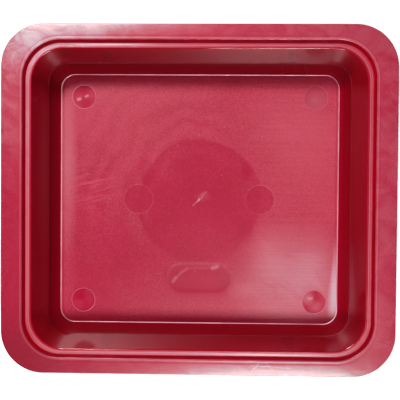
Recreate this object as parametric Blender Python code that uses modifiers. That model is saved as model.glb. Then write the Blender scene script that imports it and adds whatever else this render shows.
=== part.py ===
"""Photographic developing tray: one moulded plastic tray that stands on six rubber feet.

Metres, +Z up, +X along the long side and +Y to the back. The origin is under the tray's centre, on the
surface that the feet stand on. A station is one level of the tray, a rounded rectangle given as
(half length, half width, corner radius, height), and the tray is a loft through its stations.
"""

import math

import bmesh
import bpy
from mathutils import Matrix, Vector

NAME = "developing_tray"

# Heights
DEPTH = 0.0620
FLOOR_THICKNESS = 0.0022
WALL_THICKNESS = 0.0022
FOOT_STAND_OFF = 0.0030
FLOOR_TOP = FOOT_STAND_OFF + FLOOR_THICKNESS
RIM_TOP = FLOOR_TOP + DEPTH
LEDGE_DROP = 0.0060
KNEE_DROP = 0.0470
COVE_DROP = 0.0558
LIP_DROP = 0.0052

# Lengths, widths and corner radii of the upper surface, from the rim to the floor
RIM = (0.3800, 0.3365, 0.0410)
STEP_TOP = (0.3390, 0.3060, 0.0365)
STEP_FOOT = (0.3350, 0.3026, 0.0355)
LEDGE_EDGE = (0.3226, 0.2902, 0.0310)
KNEE = (0.3040, 0.2734, 0.0205)
COVE = (0.2968, 0.2666, 0.0183)
FLOOR_EDGE = (0.2832, 0.2537, 0.0144)

# Roundings of the section's corners
RIM_ROUND = 0.0009
STEP_ROUND = 0.0012
LEDGE_ROUND = 0.0014
CREASE_ROUND = 0.0006
FLOOR_ROUND = 0.0010
UNDERSIDE_ROUND = 0.0020
LIP_ROUND = 0.0007

# Where the outer skin of the sloped walls lies, in wall thicknesses out of and below the inner one
KNEE_LOWER = 0.35
COVE_OUT = 0.85
COVE_LOWER = 0.55
EDGE_OUT = 0.45

# Steps in each curve
CORNER_STEPS = 8
ROUND_STEPS = 2
COVE_STEPS = 4

# Round marks in the floor, each over a foot
CORNER_MARK_AT = (0.1185, 0.1043)
CORNER_MARK_DIAMETER = 0.0230
MIDDLE_MARK_AT = 0.0621
MIDDLE_MARK_DIAMETER = 0.0298
MARK_DEPTH = 0.00025
MARK_SEGMENTS = 40

# Oblong mark near the front, and the gate's mark in the middle
OBLONG_LENGTH = 0.0660
OBLONG_WIDTH = 0.0300
OBLONG_AT_Y = -0.0802
GATE_DIMPLE_DIAMETER = 0.0040
GATE_BOSS_DIAMETER = 0.0060
GATE_BOSS_HEIGHT = 0.0007

# Lugs on the outside of the front and back walls, which stop nested trays from jamming
LUG_AT_X = 0.0903
LUG_FOOT_WIDTH = 0.0140
LUG_TOP_WIDTH = 0.0090
LUG_PROUD = 0.0020
LUG_TOP_DROP = 0.0150
LUG_FOOT_DROP = 0.0440
LUG_ROOT_DEPTH = 0.0012

# Feet and the rings that hold them
SEAT_WALL = 0.0018
SEAT_HEIGHT = 0.0018
FIT_GAP = 0.0003
FOOT_ROUND = 0.0006
GROOVE_WIDTH = 0.0012
GROOVE_DEPTH = 0.0005
FOOT_STEPS = 28
OVERCUT = 0.0040

TRAY_RED = (0.52, 0.010, 0.028, 1.0)
FOOT_BLACK = (0.020, 0.019, 0.018, 1.0)


def clear_scene():
    for obj in list(bpy.data.objects):
        bpy.data.objects.remove(obj)


def new_collection(name):
    collection = bpy.data.collections.new(name)
    bpy.context.scene.collection.children.link(collection)
    return collection


def new_material(name, colour, roughness):
    material = bpy.data.materials.new(name)
    material.use_nodes = True
    shader = material.node_tree.nodes["Principled BSDF"]
    shader.inputs["Base Color"].default_value = colour
    shader.inputs["Roughness"].default_value = roughness
    shader.inputs["Metallic"].default_value = 0.0
    return material


def mesh_object(name, bm, collection):
    mesh = bpy.data.meshes.new(name)
    bmesh.ops.recalc_face_normals(bm, faces=bm.faces)
    bm.to_mesh(mesh)
    bm.free()
    obj = bpy.data.objects.new(name, mesh)
    collection.objects.link(obj)
    return obj


def mark_as_cutter(obj):
    obj.hide_render = True
    obj.display_type = "WIRE"


def add_boolean(obj, cutter, operation):
    modifier = obj.modifiers.new(cutter.name, "BOOLEAN")
    modifier.operation = operation
    modifier.solver = "EXACT"
    modifier.object = cutter


def shade_round(obj, angle):
    obj.data.shade_smooth()
    obj.data.set_sharp_from_angle(angle=math.radians(angle))


# The tray's section -----------------------------------------------------------------------------


def station(outline, drop):
    length, width, radius = outline
    return Vector((length / 2, width / 2, radius, RIM_TOP - drop))


def grown(base, outward, down):
    """The station outward of another by a wall's thickness, or part of it, and lower by some depth."""
    return base + Vector((outward, outward, outward, -down))


def run_of(step):
    return math.hypot(step[0], step[3])


def corner_arc(before, corner, after, radius, steps):
    """Stations along the arc that rounds one corner of the section."""
    back = before - corner
    ahead = after - corner
    dot = back[0] * ahead[0] + back[3] * ahead[3]
    half_angle = math.acos(dot / (run_of(back) * run_of(ahead))) / 2
    tangent = radius / math.tan(half_angle)
    start = corner + back * (tangent / run_of(back))
    end = corner + ahead * (tangent / run_of(ahead))
    return conic(start, corner, end, math.sin(half_angle), steps)


def conic(start, control, end, weight, steps):
    """A curve between two stations that leaves and arrives along the lines to the control station."""
    line = []
    for step in range(steps + 1):
        t = step / steps
        parts = ((1 - t) ** 2, 2 * t * (1 - t) * weight, t ** 2)
        total = start * parts[0] + control * parts[1] + end * parts[2]
        line.append(total / sum(parts))
    return line


def rounded_line(corners):
    """Stations along a section line, from (station, rounding) pairs whose ends have no rounding."""
    line = [corners[0][0]]
    for index in range(1, len(corners) - 1):
        corner, radius = corners[index]
        before = corners[index - 1][0]
        after = corners[index + 1][0]
        line += corner_arc(before, corner, after, radius, ROUND_STEPS)
    line.append(corners[-1][0])
    return line


def section():
    """All the stations, from the floor's upper edge over the rim to the floor's underside."""
    floor_edge = station(FLOOR_EDGE, DEPTH)
    cove = station(COVE, COVE_DROP)
    knee = station(KNEE, KNEE_DROP)
    ledge_edge = station(LEDGE_EDGE, LEDGE_DROP)
    step_foot = station(STEP_FOOT, LEDGE_DROP)
    step_top = station(STEP_TOP, 0)
    rim = station(RIM, 0)
    floor_inside = grown(floor_edge, -2 * FLOOR_ROUND, 0)
    lower = rounded_line([(floor_inside, 0), (floor_edge, FLOOR_ROUND), (cove, 0)])
    upper_wall = conic(lower[-2], cove, knee, 1.0, COVE_STEPS)
    wall = WALL_THICKNESS
    lip_outer = station(RIM, LIP_DROP)
    lip_inner = grown(lip_outer, -wall, 0)
    lip_root = grown(rim, -wall, FLOOR_THICKNESS)
    under_step = grown(step_top, wall, FLOOR_THICKNESS)
    under_ledge = grown(step_foot, wall, FLOOR_THICKNESS)
    outer_wall = grown(ledge_edge, wall, FLOOR_THICKNESS)
    outer_knee = grown(knee, wall, KNEE_LOWER * wall)
    outer_cove = grown(cove, COVE_OUT * wall, COVE_LOWER * wall)
    outer_edge = grown(floor_edge, EDGE_OUT * wall, FLOOR_THICKNESS)
    underside = grown(outer_edge, -3 * UNDERSIDE_ROUND, 0)
    over_rim = rounded_line(
        [
            (knee, 0),
            (ledge_edge, LEDGE_ROUND),
            (step_foot, CREASE_ROUND),
            (step_top, STEP_ROUND),
            (rim, RIM_ROUND),
            (lip_outer, LIP_ROUND),
            (lip_inner, LIP_ROUND),
            (lip_root, LIP_ROUND),
            (under_step, LIP_ROUND),
            (under_ledge, UNDERSIDE_ROUND),
            (outer_wall, LIP_ROUND),
            (outer_knee, UNDERSIDE_ROUND),
            (outer_cove, UNDERSIDE_ROUND),
            (outer_edge, UNDERSIDE_ROUND),
            (underside, 0),
        ]
    )
    return lower[1:-2] + upper_wall + over_rim[1:-1]


def ring_points(level):
    """A station's rounded rectangle, anticlockwise from above, starting on its +X side."""
    half_x, half_y, radius, height = level
    points = []
    for quadrant in range(4):
        side_x = 1 if quadrant in (0, 3) else -1
        side_y = 1 if quadrant in (0, 1) else -1
        for step in range(CORNER_STEPS + 1):
            angle = (quadrant + step / CORNER_STEPS) * math.pi / 2
            x = side_x * (half_x - radius) + radius * math.cos(angle)
            y = side_y * (half_y - radius) + radius * math.sin(angle)
            points.append((x, y, height))
    return points


def loft(stations):
    """A closed solid through the stations, capped at the first and the last."""
    bm = bmesh.new()
    rings = []
    for level in stations:
        rings.append([bm.verts.new(point) for point in ring_points(level)])
    count = len(rings[0])
    for inner, outer in zip(rings, rings[1:]):
        for index in range(count):
            after = (index + 1) % count
            bm.faces.new((inner[index], inner[after], outer[after], outer[index]))
    bm.faces.new(rings[0])
    bm.faces.new(rings[-1])
    return bm


# Cutters and additions --------------------------------------------------------------------------


def foot_places():
    """(node name, x, y, mark's diameter) of each foot."""
    places = []
    for side_y, row in ((-1, "front"), (1, "back")):
        for side_x, side in ((-1, "left"), (1, "right")):
            x = side_x * CORNER_MARK_AT[0]
            y = side_y * CORNER_MARK_AT[1]
            places.append((f"foot_{row}_{side}", x, y, CORNER_MARK_DIAMETER))
    for side_x, side in ((-1, "left"), (1, "right")):
        places.append((f"pad_{side}", side_x * MIDDLE_MARK_AT, 0.0, MIDDLE_MARK_DIAMETER))
    return places


def add_disc(bm, x, y, diameter, bottom, top, segments):
    """An upright cylinder, turned by half a segment so that no corner lies on its own X or Y axis."""
    made = bmesh.ops.create_cone(
        bm,
        cap_ends=True,
        segments=segments,
        radius1=diameter / 2,
        radius2=diameter / 2,
        depth=top - bottom,
    )
    verts = made["verts"]
    half_segment = Matrix.Rotation(math.pi / segments, 3, "Z")
    bmesh.ops.rotate(bm, verts=verts, cent=(0, 0, 0), matrix=half_segment)
    bmesh.ops.translate(bm, verts=verts, vec=(x, y, (top + bottom) / 2))
    return verts


def make_mark_cutter(collection):
    """Shallow recesses in the floor: a disc over each foot, an oblong and a dimple over the gate."""
    bm = bmesh.new()
    bottom = FLOOR_TOP - MARK_DEPTH
    top = FLOOR_TOP + OVERCUT
    for _, x, y, diameter in foot_places():
        add_disc(bm, x, y, diameter, bottom, top, MARK_SEGMENTS)
    add_disc(bm, 0, 0, GATE_DIMPLE_DIAMETER, bottom, top, MARK_SEGMENTS // 2)
    half_straight = (OBLONG_LENGTH - OBLONG_WIDTH) / 2
    oblong = add_disc(bm, 0, OBLONG_AT_Y, OBLONG_WIDTH, bottom, top, MARK_SEGMENTS)
    for vert in oblong:
        vert.co.x += math.copysign(half_straight, vert.co.x)
    cutter = mesh_object("floor_mark_cutter", bm, collection)
    mark_as_cutter(cutter)
    return cutter


def make_seat_discs(collection):
    """A disc under the floor for each foot's seat, not yet hollowed, and the gate's boss."""
    bm = bmesh.new()
    root = FOOT_STAND_OFF + FLOOR_THICKNESS / 2
    for _, x, y, diameter in foot_places():
        bottom = FOOT_STAND_OFF - SEAT_HEIGHT
        add_disc(bm, x, y, diameter, bottom, root, MARK_SEGMENTS)
    bottom = FOOT_STAND_OFF - GATE_BOSS_HEIGHT
    add_disc(bm, 0, 0, GATE_BOSS_DIAMETER, bottom, root, MARK_SEGMENTS // 2)
    discs = mesh_object("seat_discs", bm, collection)
    mark_as_cutter(discs)
    return discs


def make_seat_cutter(collection):
    """The hollow of each seat, up to the floor's underside."""
    bm = bmesh.new()
    for _, x, y, diameter in foot_places():
        inside = diameter - 2 * SEAT_WALL
        add_disc(bm, x, y, inside, -OVERCUT, FOOT_STAND_OFF, MARK_SEGMENTS)
    cutter = mesh_object("seat_cutter", bm, collection)
    mark_as_cutter(cutter)
    return cutter


def outer_wall_half_width(drop):
    """How far the outside of the front and back walls is from the centre plane, at a depth."""
    top = LEDGE_EDGE[1] / 2 + WALL_THICKNESS
    foot = KNEE[1] / 2 + WALL_THICKNESS
    share = (drop - LEDGE_DROP) / (KNEE_DROP - LEDGE_DROP)
    return top + (foot - top) * share


def make_lugs(collection):
    """Four upright wedges on the outside of the front and back walls, wider at the foot."""
    bm = bmesh.new()
    for side_x, side_y in ((-1, -1), (1, -1), (1, 1), (-1, 1)):
        for vert in bmesh.ops.create_cube(bm, size=1.0)["verts"]:
            at_top = vert.co.z > 0
            drop = LUG_TOP_DROP if at_top else LUG_FOOT_DROP
            width = LUG_TOP_WIDTH if at_top else LUG_FOOT_WIDTH
            reach = LUG_PROUD if vert.co.y > 0 else -LUG_ROOT_DEPTH
            vert.co.x = side_x * LUG_AT_X + vert.co.x * width
            vert.co.y = side_y * (outer_wall_half_width(drop) + reach)
            vert.co.z = RIM_TOP - drop
    lugs = mesh_object("nesting_lugs", bm, collection)
    mark_as_cutter(lugs)
    return lugs


# Sub-parts --------------------------------------------------------------------------------------


def make_tray_body(parts, cutters, material):
    body = mesh_object("tray_body", loft(section()), parts)
    body.data.materials.append(material)
    add_boolean(body, make_seat_discs(cutters), "UNION")
    add_boolean(body, make_lugs(cutters), "UNION")
    add_boolean(body, make_seat_cutter(cutters), "DIFFERENCE")
    add_boolean(body, make_mark_cutter(cutters), "DIFFERENCE")
    shade_round(body, 35)
    return body


def foot_profile(radius, height):
    """Half a foot's section, from the top's middle, down the outer side, to the underside's middle."""
    bend = FOOT_ROUND * (1 - math.sqrt(0.5))
    groove = radius * 0.62
    outer_groove = groove + GROOVE_WIDTH
    return [
        (0, height),
        (radius - FOOT_ROUND / 2, height),
        (radius, height - FOOT_ROUND / 2),
        (radius, FOOT_ROUND),
        (radius - bend, bend),
        (radius - FOOT_ROUND, 0),
        (outer_groove, 0),
        (outer_groove - GROOVE_WIDTH / 4, GROOVE_DEPTH),
        (groove + GROOVE_WIDTH / 4, GROOVE_DEPTH),
        (groove, 0),
        (0, 0),
    ]


def foot_mesh(name, diameter, material):
    """A turned rubber foot that fits inside its seat ring."""
    radius = diameter / 2 - SEAT_WALL - FIT_GAP
    mesh = bpy.data.meshes.new(name)
    points = [(x, 0, z) for x, z in foot_profile(radius, FOOT_STAND_OFF - FIT_GAP)]
    edges = [(index, index + 1) for index in range(len(points) - 1)]
    mesh.from_pydata(points, edges, [])
    mesh.materials.append(material)
    return mesh


def make_foot(name, mesh, x, y, parts):
    foot = bpy.data.objects.new(name, mesh)
    foot.location = (x, y, 0)
    parts.objects.link(foot)
    screw = foot.modifiers.new("turn", "SCREW")
    screw.steps = FOOT_STEPS
    screw.render_steps = FOOT_STEPS
    screw.use_merge_vertices = True
    screw.merge_threshold = 0.0001
    screw.use_smooth_shade = True
    return foot


def main():
    clear_scene()
    parts = new_collection(NAME)
    cutters = new_collection(NAME + "_cutters")
    tray_plastic = new_material("tray_plastic", TRAY_RED, 0.32)
    foot_rubber = new_material("foot_rubber", FOOT_BLACK, 0.75)
    make_tray_body(parts, cutters, tray_plastic)
    meshes = {}
    for name, x, y, diameter in foot_places():
        if diameter not in meshes:
            meshes[diameter] = foot_mesh("foot_section", diameter, foot_rubber)
        make_foot(name, meshes[diameter], x, y, parts)


main()
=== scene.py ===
"""Looks of the photographic developing tray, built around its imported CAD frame.

The tray's moulding is made again with fine roundings, a lip along the ledge's inner edge, the marks of
its mould in the floor and seats for its feet below. Each rubber foot is made again with its tread.
Sizes are in metres. The tables of marks and wear give places in plan, as x and y of the frame.
"""

import math

import bmesh
import bpy
from mathutils import Matrix, Vector, noise
from mathutils.geometry import delaunay_2d_cdt


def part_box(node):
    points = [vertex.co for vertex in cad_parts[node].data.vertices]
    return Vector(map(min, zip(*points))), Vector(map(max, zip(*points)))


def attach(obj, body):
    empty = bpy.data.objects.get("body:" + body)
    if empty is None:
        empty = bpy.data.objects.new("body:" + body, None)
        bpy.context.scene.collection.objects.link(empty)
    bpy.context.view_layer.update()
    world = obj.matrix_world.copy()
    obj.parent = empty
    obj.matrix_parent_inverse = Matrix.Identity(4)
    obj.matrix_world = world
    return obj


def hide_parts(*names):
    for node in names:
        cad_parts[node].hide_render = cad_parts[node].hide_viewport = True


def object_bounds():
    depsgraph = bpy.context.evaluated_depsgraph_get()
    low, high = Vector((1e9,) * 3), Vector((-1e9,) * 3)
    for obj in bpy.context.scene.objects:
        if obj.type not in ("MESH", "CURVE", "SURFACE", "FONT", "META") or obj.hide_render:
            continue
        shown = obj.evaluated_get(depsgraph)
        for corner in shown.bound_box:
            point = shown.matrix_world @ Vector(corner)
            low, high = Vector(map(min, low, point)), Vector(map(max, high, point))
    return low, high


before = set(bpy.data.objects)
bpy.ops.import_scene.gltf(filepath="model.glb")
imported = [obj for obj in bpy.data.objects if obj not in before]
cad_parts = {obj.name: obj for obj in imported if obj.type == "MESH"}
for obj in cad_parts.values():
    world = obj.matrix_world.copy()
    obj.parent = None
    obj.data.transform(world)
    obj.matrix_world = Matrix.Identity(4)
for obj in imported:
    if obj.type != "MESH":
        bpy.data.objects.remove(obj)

CAD_LOW, CAD_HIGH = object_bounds()
BODY_LOW, BODY_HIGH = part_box("tray_body")

# The tray's levels, downward from the rim's top
RIM_TOP = BODY_HIGH.z
DEPTH = 0.062
FLOOR_THICKNESS = 0.0022
WALL_THICKNESS = 0.0022
FLOOR_TOP = RIM_TOP - DEPTH
UNDERSIDE = FLOOR_TOP - FLOOR_THICKNESS
LEDGE_DROP = 0.006
KNEE_DROP = 0.047
COVE_DROP = 0.0558
LIP_DROP = 0.0052

# Length, width and corner radius at each level
RIM = (BODY_HIGH.x - BODY_LOW.x, BODY_HIGH.y - BODY_LOW.y, 0.041)
STEP_TOP = (0.339, 0.306, 0.0365)
STEP_FOOT = (0.335, 0.3026, 0.0355)
LEDGE_EDGE = (0.3226, 0.2902, 0.031)
KNEE = (0.304, 0.2734, 0.0205)
COVE = (0.2968, 0.2666, 0.0183)
FLOOR_EDGE = (0.2832, 0.2537, 0.0144)

# Roundings of the section, and the fine lips beside its inner edges
RIM_ROUND = 0.0009
STEP_ROUND = 0.0012
LEDGE_ROUND = 0.0011
CREASE_ROUND = 0.0005
KNEE_ROUND = 0.0016
FLOOR_ROUND = 0.001
UNDERSIDE_ROUND = 0.002
LIP_ROUND = 0.0007
LEDGE_LIP_HEIGHT = 0.00025
LEDGE_LIP_WIDTH = 0.0018
LEDGE_LIP_ROUND = 0.0004
LEDGE_EDGE_BAND = 0.0008
EDGE_GROOVE_DEPTH = 0.00012
EDGE_GROOVE_FROM_STEP = 0.003
EDGE_GROOVE_WIDTH = 0.0012
FLANGE_DROOP = 0.00055
FLANGE_CROWN = 0.0001
FLANGE_STEPS = 8
ROUND_STEPS = 5
COVE_STEPS = 10
CORNER_STEPS = 22
SIDE_STEPS = 28

# The outside's corners of the section against the inside's, as shares of the wall's thickness
KNEE_LOWER = 0.35
COVE_OUT = 0.85
COVE_LOWER = 0.55
EDGE_OUT = 0.45

# Marks in the floor
CORNER_MARK_DIAMETER = 0.023
CORNER_MARK_MARGIN = 0.0005
MIDDLE_MARK_DIAMETER = 0.0298
GATE_DIMPLE_DIAMETER = 0.004
GATE_BOSS_DIAMETER = 0.006
GATE_BOSS_HEIGHT = 0.0007
OBLONG_LENGTH = 0.066
OBLONG_WIDTH = 0.03
OBLONG_AT_Y = -0.0802
MARK_SEGMENTS = 72
FLOOR_SPACING = 0.003
FLOOR_MARGIN = 0.7 * FLOOR_SPACING
FLOOR_WARP = 0.0001
FLOOR_WARP_SCALE = 14.0
FLOOR_WARP_FADE = 0.025
WELD = 1e-7
HOLE_SHARE = 0.999

# Feet and their seats
SEAT_WALL = 0.0018
SEAT_HEIGHT = 0.0018
FIT_GAP = 0.0003
FOOT_HEIGHT = UNDERSIDE - FIT_GAP

# Lugs outside the front and back walls
LUG_AT_X = 0.0903
LUG_FOOT_WIDTH = 0.014
LUG_TOP_WIDTH = 0.009
LUG_PROUD = 0.002
LUG_TOP_DROP = 0.015
LUG_FOOT_DROP = 0.044
LUG_ROOT_DEPTH = 0.0012
LUG_ROUND = 0.0005

# Edges sharper than these, in degrees, stay sharp in the shading
TRAY_SHARP = 38
FOOT_SHARP = 35

# Finishes: each is a material slot of the tray's mesh
FLOOR, WALL, SATIN, DISC, UNDER, STEP = range(6)

# Colours, among them tones of painted shade, sheen, glare and highlight, and how much of the paler ones the
# satin skin takes as painted sheen and the floor's edge as a painted highlight
CRIMSON = (0.25, 0.0018, 0.027)
CRIMSON_DEEP = (0.232, 0.0014, 0.023)
WALL_CRIMSON = (0.228, 0.0014, 0.013)
STEP_CRIMSON = (0.262, 0.0014, 0.015)
# The lower wall's painted shade, lighter at the floor, and its painted light on some sides; the darkest
# tone also paints shade on the flange and the lug sinks, and darkens the flange's scores
SHADE_AND_SCORE_CRIMSON = (0.128, 0.0006, 0.008)
COVE_FOOT_SHADE_CRIMSON = (0.168, 0.0008, 0.012)
COVE_PAINTED_LIGHT = (0.215, 0.001, 0.014)
# Pale tones: painted sheen, also on the underside's scuffs; wear with painted highlights; painted glare;
# painted highlights
SHEEN_AND_SCUFF_PINK = (0.58, 0.15, 0.19)
WEAR_AND_HIGHLIGHT_PALE = (0.62, 0.36, 0.42)
GLARE_PINK = (0.46, 0.3, 0.34)
HIGHLIGHT_PALE = (0.82, 0.5, 0.58)
RUBBER = (0.016, 0.016, 0.017)
DUST = (0.05, 0.047, 0.044)
FLOOR_SHEEN = 0.15
RIM_SHEEN = 0.19
EDGE_HIGHLIGHT = 0.9
CREASE_HIGHLIGHT = 0.42
LICK_AMOUNT = 0.6
SPECKLE_LIGHTER = 1.15

# How each finish takes the light: (specular level, coat's weight, coat's roughness)
FLOOR_SKIN = (0.3, 0.7, 0.3)
WALL_SKIN = (0.4, 0.15, 0.09)
STEP_SKIN = (0.1, 0.0, 0.3)
RIM_SKIN = (0.25, 1.0, 0.28)
DISC_SKIN = (0.22, 0.25, 0.35)
UNDER_SKIN = (0.4, 0.4, 0.3)
PLASTIC_IOR = 1.49
COAT_IOR = 1.5

# The gate, the area round it that the melt's flow polished, and the flow's rings, with how much painted
# sheen they take
GATE = (0.0005, -0.0011)
POLISHED_RADIUS = 0.0632
POLISHED_WOBBLE = 0.012
POLISHED_AMOUNT = 0.38
FLOW_PITCH = 0.019
FLOW_BEND = 0.06
FLOW_AMOUNT = 0.27
FLOW_MIDDLE = (-0.05, 0.045)

# Hairlines: how finely they waver, and over how much of their ends they fade
HAIRLINE_DRIFT = 160.0
HAIRLINE_FADE = 0.001

# Patches, in plan: (x, y, radius, stretch along x, stretch along y, amount)
STREAKS_SPOT = (-0.108, 0.012, 0.04)
# Painted sheen on the floor; the negative amounts take it away
FLOOR_SHEEN_PATCHES = (
    (0.09, -0.075, 0.066, 0.8, 1.0, 0.35),
    (0.072, -0.052, 0.026, 1.0, 0.7, 0.4),
    (0.045, -0.092, 0.018, 0.8, 1.5, 0.4),
    (-0.1, 0.085, 0.06, 0.8, 1.0, -0.12),
    (0.112, 0.035, 0.085, 0.9, 0.7, 0.85),
    (0.095, 0.085, 0.07, 0.7, 1.0, 0.35),
    (-0.11, -0.01, 0.06, 1.0, 0.8, -0.15),
    (0.008, -0.085, 0.01, 0.6, 1.2, 0.2),
    (0.004, 0.003, 0.009, 0.8, 1.2, 0.6),
    (0.0486, 0.0287, 0.011, 1.2, 0.8, -0.6),
    (0.048, -0.032, 0.015, 1.0, 0.9, -0.4),
    (-0.0285, -0.077, 0.01, 0.8, 0.8, -0.5),
    (0.002, -0.092, 0.024, 0.6, 1.8, -0.8),
    (-0.055, 0.026, 0.018, 1.5, 0.8, -0.5),
)
# Painted glare on the floor
FLOOR_GLARE = (
    (0.096, -0.082, 0.07, 0.9, 1.0, 0.29),
    (0.118, -0.066, 0.034, 1.2, 0.7, 0.1),
    (0.072, -0.052, 0.026, 1.0, 0.6, 0.06),
    (0.046, -0.094, 0.018, 0.8, 1.5, 0.06),
    (-0.135, 0.03, 0.115, 9.0, 1.0, 0.15),
    (0.095, 0.08, 0.06, 0.7, 1.0, 0.03),
)
# Painted highlights along the floor's edge
EDGE_GLINTS = (
    (0.1375, -0.1225, 0.02, 1.0, 1.0, 0.6),
    (-0.1375, 0.1225, 0.022, 1.0, 1.0, 0.25),
    (0.0, 0.1268, 0.13, 0.8, 1.0, 0.45),
    (0.0, -0.1268, 0.13, 0.8, 1.0, 0.45),
    (-0.1416, 0.0, 0.11, 1.0, 0.9, 0.2),
)
# Painted glare on the corner marks
DISC_GLARE = (
    (0.119, 0.1, 0.03, 1.0, 1.0, 0.17),
    (0.112, -0.1, 0.01, 1.0, 1.0, 0.22),
    (0.12, -0.11, 0.01, 1.0, 1.0, 0.14),
)
# Painted sheen on the flange
RIM_SHEEN_PATCHES = (
    (-0.11, 0.16, 0.03, 0.5, 1.4, 0.3),
    (0.182, 0.05, 0.1, 1.0, 0.6, 0.2),
    (-0.182, 0.07, 0.07, 1.0, 0.7, 0.5),
)
# Painted glare on the flange
RIM_GLARE = (
    (-0.166, 0.146, 0.045, 0.8, 1.1, 0.58),
    (-0.12, 0.16, 0.04, 0.5, 1.5, 0.26),
    (0.09, -0.161, 0.06, 0.5, 1.6, 0.06),
    (0.182, 0.06, 0.11, 1.0, 0.6, 0.1),
    (0.135, 0.16, 0.08, 0.6, 1.2, 0.1),
    (0.184, -0.08, 0.08, 1.0, 0.7, 0.06),
    (-0.182, 0.09, 0.06, 1.0, 0.7, 0.1),
)
# Painted shade on the flange
RIM_PAINTED_SHADE = (
    (-0.12, -0.162, 0.055, 0.6, 1.2, 0.22),
    (-0.17, -0.15, 0.075, 1.0, 1.0, 0.55),
    (0.16, 0.165, 0.06, 0.8, 1.0, 0.15),
    (0.138, -0.163, 0.05, 0.8, 1.0, 0.3),
)
# Painted highlights along the ledge
LEDGE_GLINTS = (
    (-0.085, 0.149, 0.045, 0.8, 1.0, 0.42),
    (0.068, -0.148, 0.075, 0.8, 1.0, 0.45),
)

# Hairlines, in plan: (start, end, half width, amount)
# Painted highlights along the oblong's edge and at the gate
FLOOR_HIGHLIGHT_STREAKS = (
    ((-0.0268, -0.0858), (-0.023, -0.08), 0.0028, 0.13),
    ((-0.024, -0.082), (-0.0175, -0.075), 0.0018, 0.1),
    ((-0.018, -0.0755), (-0.011, -0.071), 0.0024, 0.09),
    ((-0.012, -0.071), (0.018, -0.07), 0.0016, 0.05),
    ((0.013, -0.0712), (0.0208, -0.0682), 0.003, 0.19),
    ((-0.0065, -0.0065), (0.004, 0.003), 0.0012, 0.16),
    ((-0.002, -0.0025), (0.001, 0.0005), 0.0012, 0.28),
    ((0.002, 0.0035), (0.008, 0.008), 0.003, 0.08),
)
# Painted highlights beside the middles of the back left and front right marks
DISC_HIGHLIGHT_STREAKS = (
    ((-0.1258, 0.1012), (-0.1218, 0.1026), 0.0024, 0.36),
    ((-0.1178, 0.1042), (-0.1142, 0.106), 0.0022, 0.3),
    ((0.1125, -0.1008), (0.1175, -0.1004), 0.0022, 0.26),
)
RIM_SCORES = (
    ((0.0734, 0.1663), (0.0744, 0.154), 0.0005, 0.3),
    ((-0.1825, 0.1449), (-0.168, 0.1373), 0.0007, 0.45),
    ((0.1643, 0.1316), (0.1869, 0.1354), 0.0005, 0.3),
    ((0.1707, -0.1326), (0.186, -0.1372), 0.0006, 0.45),
    ((-0.13, 0.1655), (-0.118, 0.16), 0.0007, 0.3),
)
RIM_SCRATCHES = (
    ((0.0518, -0.1583), (0.0901, -0.1606), 0.0004, 0.35),
    ((0.053, -0.164), (0.06, -0.156), 0.0005, 0.4),
    ((0.067, -0.156), (0.0745, -0.164), 0.0004, 0.35),
)

# Painted shade and painted highlight lines along the flange's and the ledge's inner edges: (distance from
# the edge, half width, amount, tone)
STEP_LINES = (
    (0.0032, 0.0008, 0.4, WALL_CRIMSON),
    (0.0016, 0.0008, 0.16, WEAR_AND_HIGHLIGHT_PALE),
)
LEDGE_LINES = (
    (0.001, 0.0013, 0.9, WALL_CRIMSON),
    (0.0019, 0.0006, 0.55, WALL_CRIMSON),
    (0.003, 0.0008, 0.22, WEAR_AND_HIGHLIGHT_PALE),
    (0.0046, 0.0006, 0.16, WEAR_AND_HIGHLIGHT_PALE),
)

# Light, camera and tone
LAMP_SIZE = (0.25, 0.16)
LAMP_BACK = (-0.32, 0.62, RIM_TOP + 0.86)
LAMP_BACK_RADIANCE = 115.26
LAMP_FRONT = (0.14, -0.58, RIM_TOP + 0.86)
LAMP_FRONT_RADIANCE = 86.7
STAGE_SIZE = 12.0
STAGE_GAP = 0.0002
STAGE_GLOW = 0.3
STAGE_FAR_GLOW = 0.8
CAMERA_PLACE = (0.01676, 0.01142, RIM_TOP + 0.86071)
CAMERA_TURN = (-1.717, 1.786, 0.446)
CAMERA_LENS = 81.0
CAMERA_SENSOR = 36.0
CAMERA_SHIFT = (0.0319, 0.0382)
CAMERA_NEAR = 0.05
CAMERA_FAR = 50.0
TONE_CURVE = (
    (0.03, 0.013),
    (0.1, 0.072),
    (0.25, 0.22),
    (0.45, 0.46),
    (0.6, 0.61),
    (0.8, 0.7),
    (0.92, 0.78),
)


# The tray's section ------------


def station(outline, drop):
    """A rounded rectangle at one level: half length, half width, corner radius, height."""
    length, width, radius = outline
    return Vector((length / 2, width / 2, radius, RIM_TOP - drop))


def grown(base, outward, down):
    return base + Vector((outward, outward, outward, -down))


def run_of(step):
    return math.hypot(step[0], step[3])


def conic(start, control, end, weight, steps):
    """A curve between two stations that leaves and arrives along the lines to the control station."""
    line = []
    for step in range(steps + 1):
        t = step / steps
        parts = ((1 - t) ** 2, 2 * t * (1 - t) * weight, t ** 2)
        total = start * parts[0] + control * parts[1] + end * parts[2]
        line.append(total / sum(parts))
    return line


def corner_arc(before, corner, after, radius):
    """Stations along the arc that rounds one corner of the section."""
    back = before - corner
    ahead = after - corner
    dot = back[0] * ahead[0] + back[3] * ahead[3]
    half_angle = math.acos(dot / (run_of(back) * run_of(ahead))) / 2
    tangent = radius / math.tan(half_angle)
    start = corner + back * (tangent / run_of(back))
    end = corner + ahead * (tangent / run_of(ahead))
    return conic(start, corner, end, math.sin(half_angle), ROUND_STEPS)


def rounded_line(corners):
    """Stations along a section line, from (station, rounding) pairs; no rounding keeps the point."""
    line = []
    for index, (corner, radius) in enumerate(corners):
        if radius:
            line += corner_arc(corners[index - 1][0], corner, corners[index + 1][0], radius)
        else:
            line.append(corner)
    return line


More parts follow.
